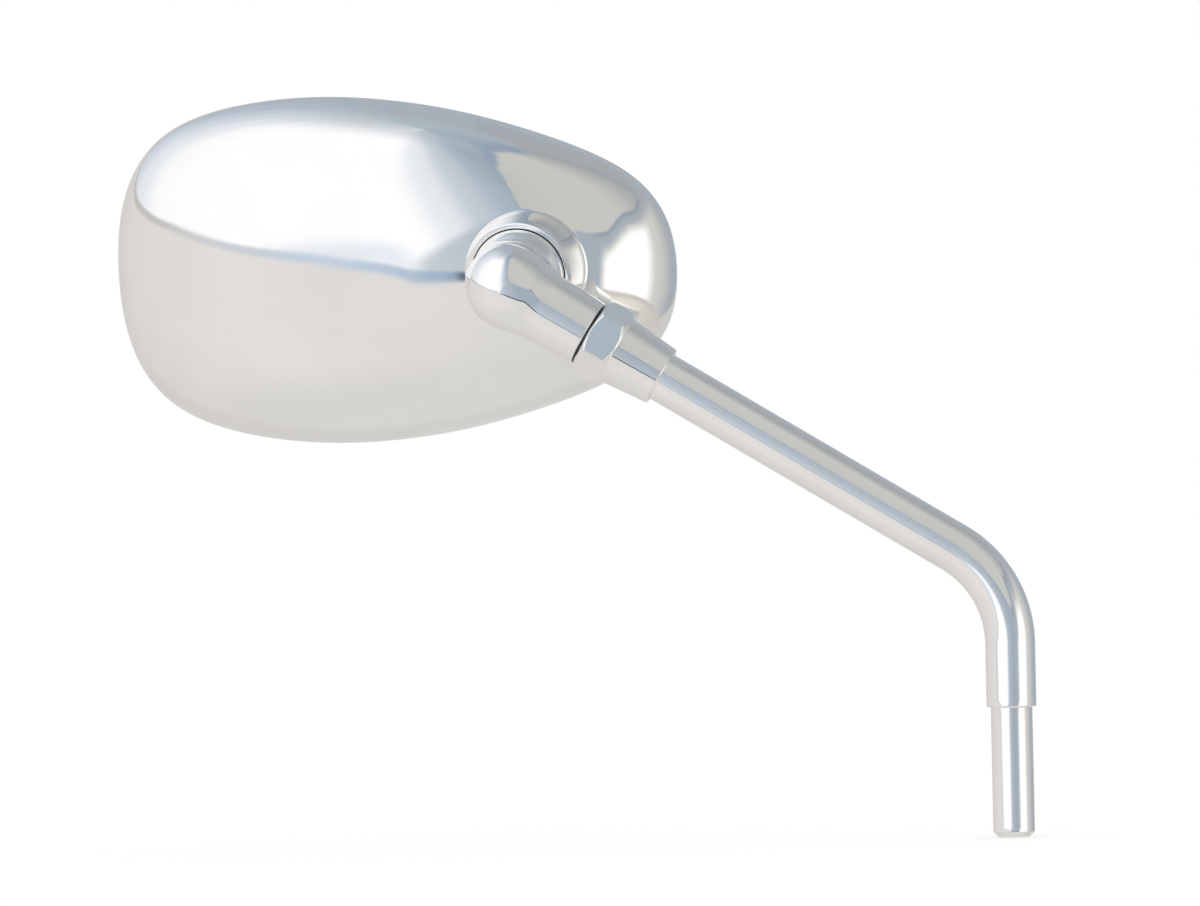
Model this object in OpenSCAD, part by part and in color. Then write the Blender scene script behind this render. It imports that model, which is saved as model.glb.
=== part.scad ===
// Motorcycle mirror: bent stem, clamp nut, elbow with a ball, and an egg-shaped head.
// All sizes are in millimetres and degrees.
// The origin is where the stem steps down to its plain pin; the pin points down (-Z).
// The stem lies in the XZ plane and the back of the head looks towards -Y.

/* [Stem] */
// diameter of the bent rod
rod_d = 12; // [11.5:0.1:12.5]
// diameter of the plain pin that the bracket clamps
pin_d = 10; // [8:0.5:11]
// length of the plain pin
pin_len = 31; // [20:1:45]
// chamfer on the pin's end
pin_chamfer = 1.2; // [0.5:0.1:2]
// height of the bend's corner above the pin's shoulder
corner_rise = 30.4; // [24:0.2:45]
// turn of the bend
bend_angle = 58.5; // [45:0.5:75]
// centre-line radius of the bend
bend_r = 27; // [18:1:32]
// length from the bend's corner to the elbow's knuckle
arm_len = 139.5; // [110:0.5:170]
// diameter of the threaded end that holds nut and elbow
thread_d = 10; // [8:0.5:10.5]
// how deep the threaded end reaches into the elbow
thread_in = 14.7; // [11:0.1:15]

/* [Clamp nut] */
// distance across the flats of the hexagon
nut_af = 17; // [16:0.5:19]
// length of the hexagon
hex_len = 7.5; // [6:0.5:9]
// length of the tapered skirt
skirt_len = 12.4; // [9:0.2:16]
// skirt diameter next to the hexagon
skirt_d1 = 16.8; // [16:0.1:16.9]
// skirt diameter at its free end
skirt_d2 = 14.6; // [14:0.1:16]
// turn of the hexagon about the arm
nut_turn = 22; // [0:1:59]
// thickness of the washer between nut and elbow
washer_t = 0.6; // [0.4:0.1:1.2]
// diameter of that washer
washer_d = 15.6; // [14:0.1:16]

/* [Elbow] */
// length of the arm from the knuckle's centre to its end face
elbow_len = 22.7; // [20:0.1:26]
// arm diameter at its end face
arm_d2 = 16.3; // [15.5:0.1:16.8]
// arm diameter near the knuckle
arm_d1 = 17.4; // [16.8:0.1:17.8]
// radius of the domed knuckle
knuckle_r = 10.2; // [10:0.05:10.6]
// neck diameter where it rises out of the ball
neck_d = 19.1; // [18.5:0.1:19.4]
// radius of the ball
ball_r = 11.5; // [11:0.1:12]
// height of the knuckle's centre above the ball's centre
knuckle_h = 14; // [13.6:0.1:16]
// turn of the elbow about the arm
elbow_roll = 14; // [0:1:30]

/* [Head] */
// overall length of the head
head_len = 140; // [120:1:160]
// height of the head at its middle
head_h = 84.2; // [72:0.2:96]
// depth of the domed back
dome_h = 26; // [24.5:0.1:27]
// fullness of the dome, larger is flatter on top
dome_full = 2.6; // [2.2:0.1:3.2]
// exponent of the outline, 2 is an ellipse
outline_exp = 2.2; // [2:0.05:2.4]
// how much the outline narrows to the elbow's end
taper = 0.18; // [0:0.01:0.25]
// second, third and fourth order fullness of the outline
egg_2 = 0.04; // [-0.1:0.01:0.1]
egg_3 = 0.03; // [-0.1:0.01:0.1]
egg_4 = 0.3; // [0:0.01:0.35]
// shell thickness
wall = 1.3; // [1:0.1:1.6]
// distance of the ball from the head's middle, along the head
ball_u = 36.8; // [30:0.2:38]
// distance of the ball above the head's middle line
ball_v = 3.9; // [0:0.1:6]
// turn of the head's long axis away from the arm
head_roll = 31; // [0:1:45]

/* [Ball socket] */
// height of the socket's mouth above the rim of the head
mouth_h = 28.5; // [28:0.1:30]
// outer radius of the socket's mouth
mouth_r = 13; // [12.9:0.1:13.6]
// depth of the ball's centre below the mouth
ball_sink = 1.4; // [1:0.1:2]
// steepness of the socket's outer wall
boss_slope = 6; // [4:0.5:9]
// size of the fillet between the socket and the dome
boss_blend = 2.2; // [1:0.1:2.4]
// thickness of the plastic ball seat
seat_t = 0.7; // [0.6:0.05:0.8]
// thickness of the socket's bottom
socket_t = 1.5; // [1.2:0.1:1.6]
// radius of the hole that lets the stud tilt
tilt_hole_r = 5.2; // [5:0.1:5.4]
// clearance between sliding ball faces
ball_gap = 0.04; // [0.03:0.01:0.06]

/* [Pivot hardware] */
// stud diameter
stud_d = 5; // [4.5:0.1:5.2]
// radius of the pressure cup
cup_r = 8.8; // [8.2:0.1:9]
// thickness of the pressure cup
cup_t = 1.2; // [1:0.1:1.3]
// outer diameter of the disc springs
disc_d = 14; // [12:0.5:14]
// thickness of a disc spring
disc_t = 0.8; // [0.5:0.1:0.9]
// cone height of a disc spring
disc_cone = 0.4; // [0.2:0.1:0.5]
// thickness of the flat washer
flat_t = 0.8; // [0.6:0.1:1]
// distance across the flats of the pivot nut
pivot_af = 8; // [8:0.5:9]
// height of the pivot nut
pivot_nut_h = 4.5; // [4:0.1:4.6]

/* [Glass] */
// glass thickness
glass_t = 2; // [1.8:0.1:2.2]
// radius of the convex mirror face
glass_curve = 1200; // [1000:50:1500]
// how far the middle of the glass stands proud of the rim
glass_proud = 3; // [2.6:0.1:3.2]
// distance of the glass edge from the head's outline
glass_inset = 2.7; // [2.7:0.1:3]
// thickness of the film on the glass's back
film_t = 0.3; // [0.2:0.05:0.4]
// reach of the gasket's lips over the glass
lip_over = 0.7; // [0.5:0.1:1.2]
// side length of a foam block
foam_w = 16; // [12:1:18]
// distance of the outer foam block from the head's middle
foam_far = 46; // [40:1:48]
// distance of the two inner foam blocks from the head's middle, along the head
foam_near = 14; // [8:1:16]
// distance of the two inner foam blocks from the head's middle line
foam_side = 19; // [14:1:20]

/* [Hidden] */
$fn = 96;
fit = 0.05;

// places along the arm, measured from the knuckle towards the stem
x_washer = elbow_len;
x_nut = x_washer + washer_t;
x_skirt = x_nut + hex_len;
x_nut_end = x_skirt + skirt_len;
x_shoulder = x_skirt + skirt_len * 0.46;
x_thread_end = elbow_len - thread_in;
bend_run = bend_r * tan(bend_angle / 2);
knuckle_x = -arm_len * sin(bend_angle);
knuckle_z = corner_rise + arm_len * cos(bend_angle);

// places on the pivot axis, measured from the ball's centre towards the glass
seat_r_in = ball_r + ball_gap;
seat_r_out = seat_r_in + seat_t;
socket_r = seat_r_out + 2 * ball_gap;
under_r = socket_r + socket_t;
cup_r_in = under_r + ball_gap;
z_cup = -(cup_r_in + cup_t + 0.45);
disc_h = disc_t + disc_cone;
z_disc_mid = z_cup - disc_h;
z_flat = z_disc_mid - disc_h;
z_pnut = z_flat - flat_t;
z_pnut_end = z_pnut - pivot_nut_h;
stud_r = stud_d / 2;

// the head's rim plane below the ball's centre
rim_z = ball_sink - mouth_h;
half_len = head_len / 2;
half_h = head_h / 2;
steps = 80;
film_gap = 0.05;
film_back = glass_t + film_gap + film_t;

// frames
module arm_frame() {
  translate([knuckle_x, 0, knuckle_z])
    rotate([0, 90 - bend_angle, 0])
      rotate([90, 0, 0])
        children();
}

module ball_frame() {
  arm_frame()
    rotate([elbow_roll, 0, 0])
      translate([0, 0, -knuckle_h])
        children();
}

module head_frame() {
  ball_frame()
    rotate([0, 0, head_roll])
      children();
}

// egg outline: narrowing factor, point at an angle, and level of any point (1 on the outline)
function narrow(x) = 1 - taper * x - egg_2 * x * x - egg_3 * x * x * x + egg_4 * pow(x, 4);
function signed_pow(a, e) = sign(a) * pow(abs(a), e);
function egg_point(t, inset) =
  let (x = signed_pow(cos(t), 2 / outline_exp), y = signed_pow(sin(t), 2 / outline_exp))
  [(half_len - inset) * x, (half_h - inset) * y * narrow(x)];
function level(u, v, inset) =
  let (x = u / (half_len - inset), y = v / ((half_h - inset) * narrow(x)))
  pow(pow(abs(x), outline_exp) + pow(abs(y), outline_exp), 1 / outline_exp);

// distance from the ball's axis to the outline, by halving
function reach(a, inset, lo, hi, n) =
  let (m = (lo + hi) / 2)
  n == 0 ? m :
  level(ball_u + m * cos(a), ball_v + m * sin(a), inset) > 1
    ? reach(a, inset, lo, m, n - 1)
    : reach(a, inset, m, hi, n - 1);

// height of the dome above the rim
function dome(u, v, inset) =
  let (s = min(1, level(u, v, inset)))
  (dome_h - inset) * sqrt(max(0, 1 - pow(s, dome_full)));

// the socket's wall laid over the dome with a fillet
function blend(d, b, k) =
  let (e = b - d)
  e < -k ? d : e > k ? b : d + (e + k) * (e + k) / (4 * k);
function back_height(r, a) =
  let (d = dome(ball_u + r * cos(a), ball_v + r * sin(a), 0))
  let (b = mouth_h - 0.35 - boss_slope * (r - mouth_r))
  blend(d, b, boss_blend);

// the inner face: the lower of the dome's inside and the socket's rounded bottom
function inner_height(r, a) =
  let (d = dome(ball_u + r * cos(a), ball_v + r * sin(a), wall))
  let (s = r < under_r - 0.01 ? -rim_z - sqrt(under_r * under_r - r * r) : 100)
  -blend(-d, -s, 0.6);

// rows of the shell's closed profile, from the rim over the back, into the socket and back
far_rows = [1, 0.998, 0.993, 0.984, 0.97, 0.95, 0.925, 0.89, 0.84, 0.77, 0.68, 0.57,
  0.45, 0.32, 0.2, 0.09, 0];
far_r = mouth_r + 3.5;
near_rows = [2.2, 1.5, 1.1, 0.8, 0.55, 0.35, 0.2, 0];
seat_rows = [0, 15, 30, 45];
under_rows = [0, 1.5, 2.9, 4.2, 5.3, 6.3, 7.2, 8.2, 9.6];
in_rows = [0, 0.15, 0.33, 0.52, 0.68, 0.81, 0.9, 0.955, 0.985, 1];
// stock that the true round cuts of socket and hole take away
stock = 0.35;
rough_r = socket_r - stock;
rough_hole = tilt_hole_r - stock;

function shell_profile(a) =
  let (l_out = reach(a, 0, 0, head_len, 24), l_in = reach(a, wall, 0, head_len, 24))
  concat(
    [for (f = far_rows) let (r = far_r + f * (l_out - far_r))
      [r, rim_z + (f == 1 ? 0 : back_height(r, a))]],
    [for (n = near_rows) [mouth_r + n, rim_z + back_height(mouth_r + n, a)]],
    [[mouth_r - 0.25, ball_sink], [rough_r, ball_sink]],
    [for (q = seat_rows) [rough_r * cos(q), -rough_r * sin(q)]],
    [[rough_hole, -sqrt(rough_r * rough_r - rough_hole * rough_hole)]],
    [for (n = under_rows) let (r = rough_hole + n) [r, rim_z + inner_height(r, a)]],
    [for (f = in_rows) let (r = far_r + f * (l_in - far_r))
      [r, rim_z + (f == 1 ? 0.1 : inner_height(r, a))]],
    [[l_in + wall * 0.25, rim_z - 0.3], [l_out - 0.3, rim_z - 0.3]]
  );

// a closed ring of quads from a list of profiles
module ring_solid(rows) {
  n = len(rows);
  m = len(rows[0]);
  polyhedron(
    points = [for (i = [0:n - 1]) for (j = [0:m - 1]) rows[i][j]],
    faces = [for (i = [0:n - 1]) for (j = [0:m - 1])
      let (i2 = (i + 1) % n, j2 = (j + 1) % m)
      [i * m + j, i * m + j2, i2 * m + j2, i2 * m + j]],
    convexity = 6);
}

// a lens-like sheet with the glass's curve, between two heights over the glass's front
function glass_z(p, lift) = rim_z - glass_proud + lift + (p[0] * p[0] + p[1] * p[1]) / (2 * glass_curve);
function glass_ring(inset, f, lift) =
  [for (i = [0:steps - 1]) let (p = f * egg_point(i * 360 / steps, inset))
    [p[0] - ball_u, p[1] - ball_v, glass_z(p, lift)]];

module glass_sheet(inset, lift1, lift2, out_rows) {
  back_rows = [for (k = [len(out_rows) - 1:-1:0]) out_rows[k]];
  rings = concat([for (f = out_rows) glass_ring(inset, f, lift1)],
    [for (f = back_rows) glass_ring(inset, f, lift2)]);
  n = steps;
  m = len(rings);
  polyhedron(
    points = concat(
      [for (k = [0:m - 1]) for (i = [0:n - 1]) rings[k][i]],
      [[-ball_u, -ball_v, glass_z([0, 0], lift1)], [-ball_u, -ball_v, glass_z([0, 0], lift2)]]),
    faces = concat(
      [for (k = [0:m - 2]) for (i = [0:n - 1]) let (i2 = (i + 1) % n)
        [k * n + i, k * n + i2, (k + 1) * n + i2, (k + 1) * n + i]],
      [for (i = [0:n - 1]) let (i2 = (i + 1) % n) [m * n, i2, i]],
      [for (i = [0:n - 1]) let (i2 = (i + 1) % n)
        [m * n + 1, (m - 1) * n + i, (m - 1) * n + i2]]),
    convexity = 4);
}

// a dish between two concentric spheres, cut level at the top and open in the middle
module ball_dish(r_in, r_out, z_top, r_hole, r_max) {
  difference() {
    sphere(r = r_out);
    sphere(r = r_in);
    translate([0, 0, z_top]) cylinder(r = r_out * 2, h = r_out * 2);
    translate([0, 0, -r_out * 2]) cylinder(r = r_hole, h = r_out * 2);
    difference() {
      translate([0, 0, -r_out * 2]) cylinder(r = r_out * 2, h = r_out * 4);
      translate([0, 0, -r_out * 2 - 1]) cylinder(r = r_max, h = r_out * 4 + 2);
    }
  }
}

// STEM: pin, shoulder, bend and threaded end
module stem() {
  color("silver") {
    rotate_extrude()
      polygon([[0, -pin_len], [pin_d / 2 - pin_chamfer, -pin_len], [pin_d / 2, -pin_len + pin_chamfer],
        [pin_d / 2, 0], [rod_d / 2 - 0.7, 0], [rod_d / 2 - 0.35, 0.1], [rod_d / 2 - 0.1, 0.35],
        [rod_d / 2, 0.7], [rod_d / 2, corner_rise - bend_run], [0, corner_rise - bend_run]]);
    translate([-bend_r, 0, corner_rise - bend_run])
      rotate([90, 0, 0])
        rotate_extrude(angle = bend_angle)
          translate([bend_r, 0]) circle(d = rod_d);
    // short cores that tie the bend to both straight legs
    for (turn = [0, bend_angle])
      translate([-bend_r, 0, corner_rise - bend_run])
        rotate([0, -turn, 0])
          translate([bend_r, 0, -rod_d / 3]) cylinder(r = rod_d / 4, h = rod_d * 2 / 3);
    arm_frame()
      rotate([0, 90, 0])
        rotate_extrude()
          polygon([[0, x_thread_end], [thread_d / 2 - 0.8, x_thread_end],
            [thread_d / 2, x_thread_end + 0.8], [thread_d / 2, x_shoulder],
            [rod_d / 2 - 0.5, x_shoulder], [rod_d / 2, x_shoulder + 0.5],
            [rod_d / 2, arm_len - bend_run], [0, arm_len - bend_run]]);
  }
}

// CLAMP NUT: chamfered hexagon with a tapered skirt over the rod
module lock_nut() {
  hex_r = nut_af / 2 / cos(30);
  color("silver")
    arm_frame()
      rotate([nut_turn, 0, 0])
        rotate([0, 90, 0])
          difference() {
            union() {
              intersection() {
                translate([0, 0, x_nut]) cylinder(r = hex_r, h = hex_len, $fn = 6);
                rotate_extrude()
                  polygon([[0, x_nut], [nut_af / 2 - 0.1, x_nut], [hex_r + 0.2, x_nut + 1.05],
                    [hex_r + 0.2, x_skirt - 1.05], [nut_af / 2 - 0.1, x_skirt], [0, x_skirt]]);
              }
              rotate_extrude()
                polygon([[0, x_skirt - 1], [skirt_d1 / 2, x_skirt - 1], [skirt_d1 / 2, x_skirt],
                  [skirt_d2 / 2, x_nut_end - 0.4], [skirt_d2 / 2 - 0.4, x_nut_end], [0, x_nut_end]]);
            }
            translate([0, 0, x_nut - 1]) cylinder(r = thread_d / 2 + fit, h = hex_len + skirt_len);
            translate([0, 0, x_skirt + 0.7]) cylinder(r = rod_d / 2 + 2 * fit, h = skirt_len + 1);
          }
}

module lock_washer() {
  color("dimgray")
    arm_frame()
      rotate([0, 90, 0])
        translate([0, 0, x_washer])
          difference() {
            cylinder(d = washer_d, h = washer_t);
            translate([0, 0, -1]) cylinder(r = thread_d / 2 + 2 * fit, h = washer_t + 2);
          }
}

// ELBOW: ball, neck with domed knuckle, and the arm that takes the stem
module elbow() {
  flare_x = 9.5;
  dome_steps = 16;
  color("silver")
    ball_frame()
      difference() {
        union() {
          sphere(r = ball_r);
          rotate_extrude()
            polygon(concat(
              [[0, 4.5], [neck_d / 2, 4.5], [neck_d / 2, 7], [neck_d / 2 + 0.15, 9],
                [knuckle_r - 0.25, 11.2], [knuckle_r - 0.06, 12.8]],
              [for (i = [0:dome_steps]) let (q = 90 * i / dome_steps)
                [knuckle_r * cos(q), knuckle_h + knuckle_r * sin(q)]]));
          translate([0, 0, knuckle_h])
            rotate([0, 90, 0])
              rotate_extrude()
                polygon(concat(
                  [[0, 3]],
                  [for (i = [0:8]) let (x = 3 + i * (flare_x - 3) / 8)
                    [arm_d1 / 2 + 0.62 * pow((flare_x - x) / 5.5, 2), x]],
                  [[arm_d2 / 2 + 0.05, elbow_len - 0.4], [arm_d2 / 2 - 0.3, elbow_len], [0, elbow_len]]));
        }
        translate([x_thread_end - 1, 0, knuckle_h])
          rotate([0, 90, 0]) cylinder(r = thread_d / 2 + fit, h = elbow_len);
        translate([0, 0, -ball_r - 2]) cylinder(r = stud_r + fit, h = ball_r + 6.5);
      }
}

// PIVOT HARDWARE on the ball's axis
module pivot_stud() {
  color("gray")
    ball_frame()
      rotate_extrude()
        polygon([[0, z_pnut_end - 0.7], [stud_r - 0.5, z_pnut_end - 0.7], [stud_r, z_pnut_end - 0.2],
          [stud_r, 3.6], [stud_r - 0.5, 4.1], [0, 4.1]]);
}

module pressure_cup() {
  color("gray")
    ball_frame()
      difference() {
        intersection() {
          union() {
            sphere(r = cup_r_in + cup_t);
            translate([0, 0, z_cup]) cylinder(d = disc_d + 0.4, h = 3);
          }
          translate([0, 0, -under_r * 2]) cylinder(r = cup_r, h = under_r * 2);
        }
        sphere(r = cup_r_in);
        translate([0, 0, -under_r * 2]) cylinder(r = stud_r + fit, h = under_r * 2);
      }
}

module disc_spring_1() {
  color("dimgray")
    ball_frame()
      rotate_extrude()
        polygon([[stud_r + fit, z_cup - disc_cone], [disc_d / 2, z_cup], [disc_d / 2, z_cup - disc_t],
          [stud_r + fit, z_disc_mid]]);
}

module disc_spring_2() {
  color("dimgray")
    ball_frame()
      rotate_extrude()
        polygon([[stud_r + fit, z_disc_mid], [disc_d / 2, z_disc_mid - disc_cone],
          [disc_d / 2, z_flat], [stud_r + fit, z_disc_mid - disc_t]]);
}

module pivot_washer() {
  color("gray")
    ball_frame()
      translate([0, 0, z_pnut])
        difference() {
          cylinder(d = disc_d + 0.6, h = flat_t);
          translate([0, 0, -1]) cylinder(r = stud_r + fit, h = flat_t + 2);
        }
}

module pivot_nut() {
  nut_r = pivot_af / 2 / cos(30);
  hex_h = pivot_nut_h - 1.2;
  color("gray")
    ball_frame()
      difference() {
        union() {
          intersection() {
            translate([0, 0, z_pnut - hex_h]) cylinder(r = nut_r, h = hex_h, $fn = 6);
            rotate_extrude()
              polygon([[0, z_pnut - hex_h], [pivot_af / 2, z_pnut - hex_h],
                [nut_r + 0.1, z_pnut - hex_h + 0.45], [nut_r + 0.1, z_pnut], [0, z_pnut]]);
          }
          translate([0, 0, z_pnut_end]) cylinder(r = pivot_af / 2 - 0.2, h = 2);
        }
        translate([0, 0, z_pnut_end - 1]) cylinder(r = stud_r + fit, h = pivot_nut_h + 2);
        translate([0, 0, z_pnut_end + 0.2]) cylinder(r = stud_r + 0.8, h = 0.9);
      }
}

module nut_insert() {
  color("royalblue")
    ball_frame()
      translate([0, 0, z_pnut_end + 0.25])
        difference() {
          cylinder(r = stud_r + 0.75, h = 0.8);
          translate([0, 0, -1]) cylinder(r = stud_r + fit, h = 3);
        }
}

// SOCKET LINING
module ball_seat() {
  color("black")
    head_frame()
      ball_dish(seat_r_in, seat_r_out, -2.2, tilt_hole_r - 0.6, 40);
}

module dust_ring() {
  color("black")
    head_frame()
      rotate_extrude()
        polygon([[ball_r + fit, 0.1], [socket_r - 0.1, 0.1], [socket_r - 0.15, ball_sink - 0.45],
          [ball_r + 0.1, ball_sink - 0.45]]);
}

// HEAD
module head_shell() {
  color("silver")
    head_frame()
      difference() {
        ring_solid([for (i = [0:steps - 1])
          let (t = i * 360 / steps, a = t + 25.8 * sin(t))
          [for (p = shell_profile(a)) [p[0] * cos(a), p[0] * sin(a), p[1]]]]);
        sphere(r = socket_r);
        translate([0, 0, ball_sink - 0.4]) cylinder(r1 = mouth_r - 0.9, r2 = mouth_r - 0.4, h = 0.5);
        translate([0, 0, -under_r - 1]) cylinder(r = tilt_hole_r, h = under_r);
      }
}

module glass_gasket() {
  gap = 0.1;
  out = glass_inset - 0.8;
  inn = glass_inset + lip_over;
  color("black")
    head_frame()
      ring_solid([for (i = [0:steps - 1])
        let (t = -i * 360 / steps, g = egg_point(t, glass_inset))
        let (zf = glass_z(g, 0), zb = glass_z(g, film_back))
        [for (q = [[out, zf - 0.55], [out + 0.3, zf - 0.8], [inn - 0.3, zf - 0.8], [inn, zf - 0.55],
          [inn, zf - gap], [glass_inset - gap, zf - gap], [glass_inset - gap, zb + gap],
          [inn + 0.4, zb + gap], [inn + 0.4, zb + 0.9], [out + 0.2, zb + 0.9]])
          let (p = egg_point(t, q[0])) [p[0] - ball_u, p[1] - ball_v, q[1]]]]);
}

module mirror_glass() {
  color("lightsteelblue")
    head_frame() glass_sheet(glass_inset, 0, glass_t, [0.35, 0.7, 1]);
}

module backing_film() {
  color("dimgray")
    head_frame() glass_sheet(glass_inset + 0.2, glass_t + film_gap, film_back, [0.5, 1]);
}

// foam blocks between the film and the dome's inside
module foam_block(u, v) {
  far = max([for (du = [-1, 1]) for (dv = [-1, 1])
    glass_z([u + du * foam_w / 2, v + dv * foam_w / 2], film_back)]);
  top = min([for (du = [-1, 1]) for (dv = [-1, 1])
    dome(u + du * foam_w / 2, v + dv * foam_w / 2, wall)]);
  color("dimgray")
    head_frame()
      translate([u - ball_u - foam_w / 2, v - ball_v - foam_w / 2, far + 0.15])
        cube([foam_w, foam_w, rim_z + top - 0.35 - far]);
}

module foam_block_1() {
  foam_block(-foam_far, 0);
}

module foam_block_2() {
  foam_block(-foam_near, foam_side);
}

module foam_block_3() {
  foam_block(-foam_near, -foam_side);
}

stem();
lock_nut();
lock_washer();
elbow();
pivot_stud();
pressure_cup();
disc_spring_1();
disc_spring_2();
pivot_washer();
pivot_nut();
nut_insert();
ball_seat();
dust_ring();
head_shell();
glass_gasket();
mirror_glass();
backing_film();
foam_block_1();
foam_block_2();
foam_block_3();
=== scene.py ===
import bpy
import numpy as np
from math import cos, degrees, pi, radians, sin, sqrt, tan
from mathutils import Matrix, Vector


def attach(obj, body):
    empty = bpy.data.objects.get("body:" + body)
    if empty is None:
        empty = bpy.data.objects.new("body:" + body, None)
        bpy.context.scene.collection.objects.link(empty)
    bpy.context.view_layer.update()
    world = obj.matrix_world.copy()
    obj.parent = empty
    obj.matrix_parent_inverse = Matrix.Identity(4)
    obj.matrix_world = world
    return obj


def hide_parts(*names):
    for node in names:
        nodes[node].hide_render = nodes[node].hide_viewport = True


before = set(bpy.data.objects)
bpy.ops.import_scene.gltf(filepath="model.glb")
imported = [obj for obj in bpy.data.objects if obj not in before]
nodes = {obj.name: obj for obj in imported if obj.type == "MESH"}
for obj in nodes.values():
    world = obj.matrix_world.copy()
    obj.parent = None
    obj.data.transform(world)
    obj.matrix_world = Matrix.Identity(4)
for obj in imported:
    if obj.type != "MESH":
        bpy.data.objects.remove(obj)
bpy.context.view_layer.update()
mm = 0.001
spare = 1        # how far a cutting tool reaches past the piece, and a joined form into it
print("frame loaded,", len(nodes), "nodes")

# the three places that the pieces are made in: arm, ball and head
layout = {"bend": 58.5, "cornerRise": 30.4, "armLength": 139.5, "elbowRoll": 14, "knuckleHeight": 14.0,
          "headRoll": 31, "elbowEnd": 22.7, "washer": 0.6}
bend = radians(layout["bend"])
knuckle = Vector((-layout["armLength"] * sin(bend), 0,
                  layout["cornerRise"] + layout["armLength"] * cos(bend)))
armFrame = (Matrix.Translation(knuckle) @ Matrix.Rotation(pi / 2 - bend, 4, "Y")
            @ Matrix.Rotation(pi / 2, 4, "X"))
ballFrame = (armFrame @ Matrix.Rotation(radians(layout["elbowRoll"]), 4, "X")
             @ Matrix.Translation((0, 0, -layout["knuckleHeight"])))
headFrame = ballFrame @ Matrix.Rotation(radians(layout["headRoll"]), 4, "Z")
alongArm = armFrame @ Matrix.Rotation(pi / 2, 4, "Y")      # lathe axis +Z turned along the arm


def pickOnly(obj):
    for other in bpy.context.selected_objects:
        other.select_set(False)
    if obj:
        obj.select_set(True)
        bpy.context.view_layer.objects.active = obj


def startEdit(obj):
    pickOnly(obj)
    bpy.ops.object.mode_set(mode="EDIT")
    bpy.ops.mesh.select_mode(type="VERT")


def endEdit():
    bpy.ops.object.mode_set(mode="OBJECT")


def named(name):
    obj = bpy.context.active_object
    obj.name = name
    obj.data.name = name
    return obj


def moved(obj, matrix):        # its place goes into the mesh, so the object stays at the origin
    pickOnly(obj)
    obj.matrix_world = matrix
    bpy.ops.object.transform_apply(location=True, rotation=True, scale=True)
    return obj


def place(obj, matrix):        # from millimetres in its own frame to metres
    return moved(obj, Matrix.Scale(mm, 4) @ matrix @ obj.matrix_world)


def tidyMesh(obj, gap=0.0005):
    startEdit(obj)
    bpy.ops.mesh.select_all(action="SELECT")
    bpy.ops.mesh.remove_doubles(threshold=gap)
    bpy.ops.mesh.normals_make_consistent(inside=False)
    endEdit()


def smoothBelow(obj, angle):
    pickOnly(obj)
    bpy.ops.object.shade_smooth_by_angle(angle=radians(angle))


def evenShade(obj, angle):        # long faces keep their own normals, small ones bend to them
    smoothBelow(obj, angle)
    applied(obj, "WEIGHTED_NORMAL", mode="FACE_AREA", weight=50, keep_sharp=True)


def applied(obj, kind, **settings):
    pickOnly(obj)
    modifier = obj.modifiers.new("step", kind)
    for key, value in settings.items():
        setattr(modifier, key, value)
    bpy.ops.object.modifier_apply(modifier=modifier.name)
    return obj


def combined(obj, tool, operation):
    applied(obj, "BOOLEAN", object=tool, operation=operation, solver="EXACT")
    bpy.data.objects.remove(tool)
    return obj


def joined(obj, *others):
    pickOnly(obj)
    for other in others:
        other.select_set(True)
    bpy.ops.object.join()
    return obj


def onePoint(name, x, z):        # a plane merged to one point, left picked in edit mode
    pickOnly(None)
    bpy.ops.mesh.primitive_plane_add(size=1, location=(x, 0, z))
    obj = named(name)
    startEdit(obj)
    bpy.ops.mesh.select_all(action="SELECT")
    bpy.ops.mesh.merge(type="CENTER")
    return obj


def lathe(name, outline, sides=128):
    # the outline, radius and height, is drawn by extruding one point, then spun round Z
    obj = onePoint(name, *outline[0])
    for (r1, z1), (r2, z2) in zip(outline, outline[1:]):
        bpy.ops.mesh.extrude_vertices_move(TRANSFORM_OT_translate={"value": (r2 - r1, 0, z2 - z1)})
    bpy.ops.mesh.select_all(action="SELECT")
    bpy.ops.mesh.spin(steps=sides, angle=2 * pi, center=(0, 0, 0), axis=(0, 0, 1))
    endEdit()
    bpy.ops.object.transform_apply(location=True, rotation=True, scale=True)
    tidyMesh(obj)
    return obj


def arc(centre, radius, start, end, steps):
    return [(centre[0] + radius * cos(radians(start + (end - start) * i / steps)),
             centre[1] + radius * sin(radians(start + (end - start) * i / steps))) for i in range(steps + 1)]


def readAll(items, key, width=3, kind=float):        # one row of values for each vertex, face or corner
    flat = np.empty(len(items) * width, dtype=kind)
    items.foreach_get(key, flat)
    return flat.reshape(-1, width) if width > 1 else flat


def wrapped(name, points):
    # a grid is wrapped round by numbers: rows run round the piece, and meeting edges are merged
    count, around = points.shape[:2]
    pickOnly(None)
    bpy.ops.mesh.primitive_grid_add(x_subdivisions=around, y_subdivisions=count - 1, size=2)
    obj = named(name)
    spots = readAll(obj.data.vertices, "co")
    column = np.rint((spots[:, 0] + 1) / 2 * around).astype(int) % around
    row = np.rint((spots[:, 1] + 1) / 2 * (count - 1)).astype(int)
    obj.data.vertices.foreach_set("co", points[row, column].ravel())
    obj.data.update()
    tidyMesh(obj)
    return obj


def ringTurns(count):        # angles of evenly spread columns
    return np.arange(count) * 2 * pi / count


# the camera stands where the photograph was taken from
view = {"turn": 5.0, "roll": 1.24, "distance": 2.4, "lens": 300, "sensor": 36, "far": 100,
        "aim": (-97.55, 1.87, 62.74)}


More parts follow.
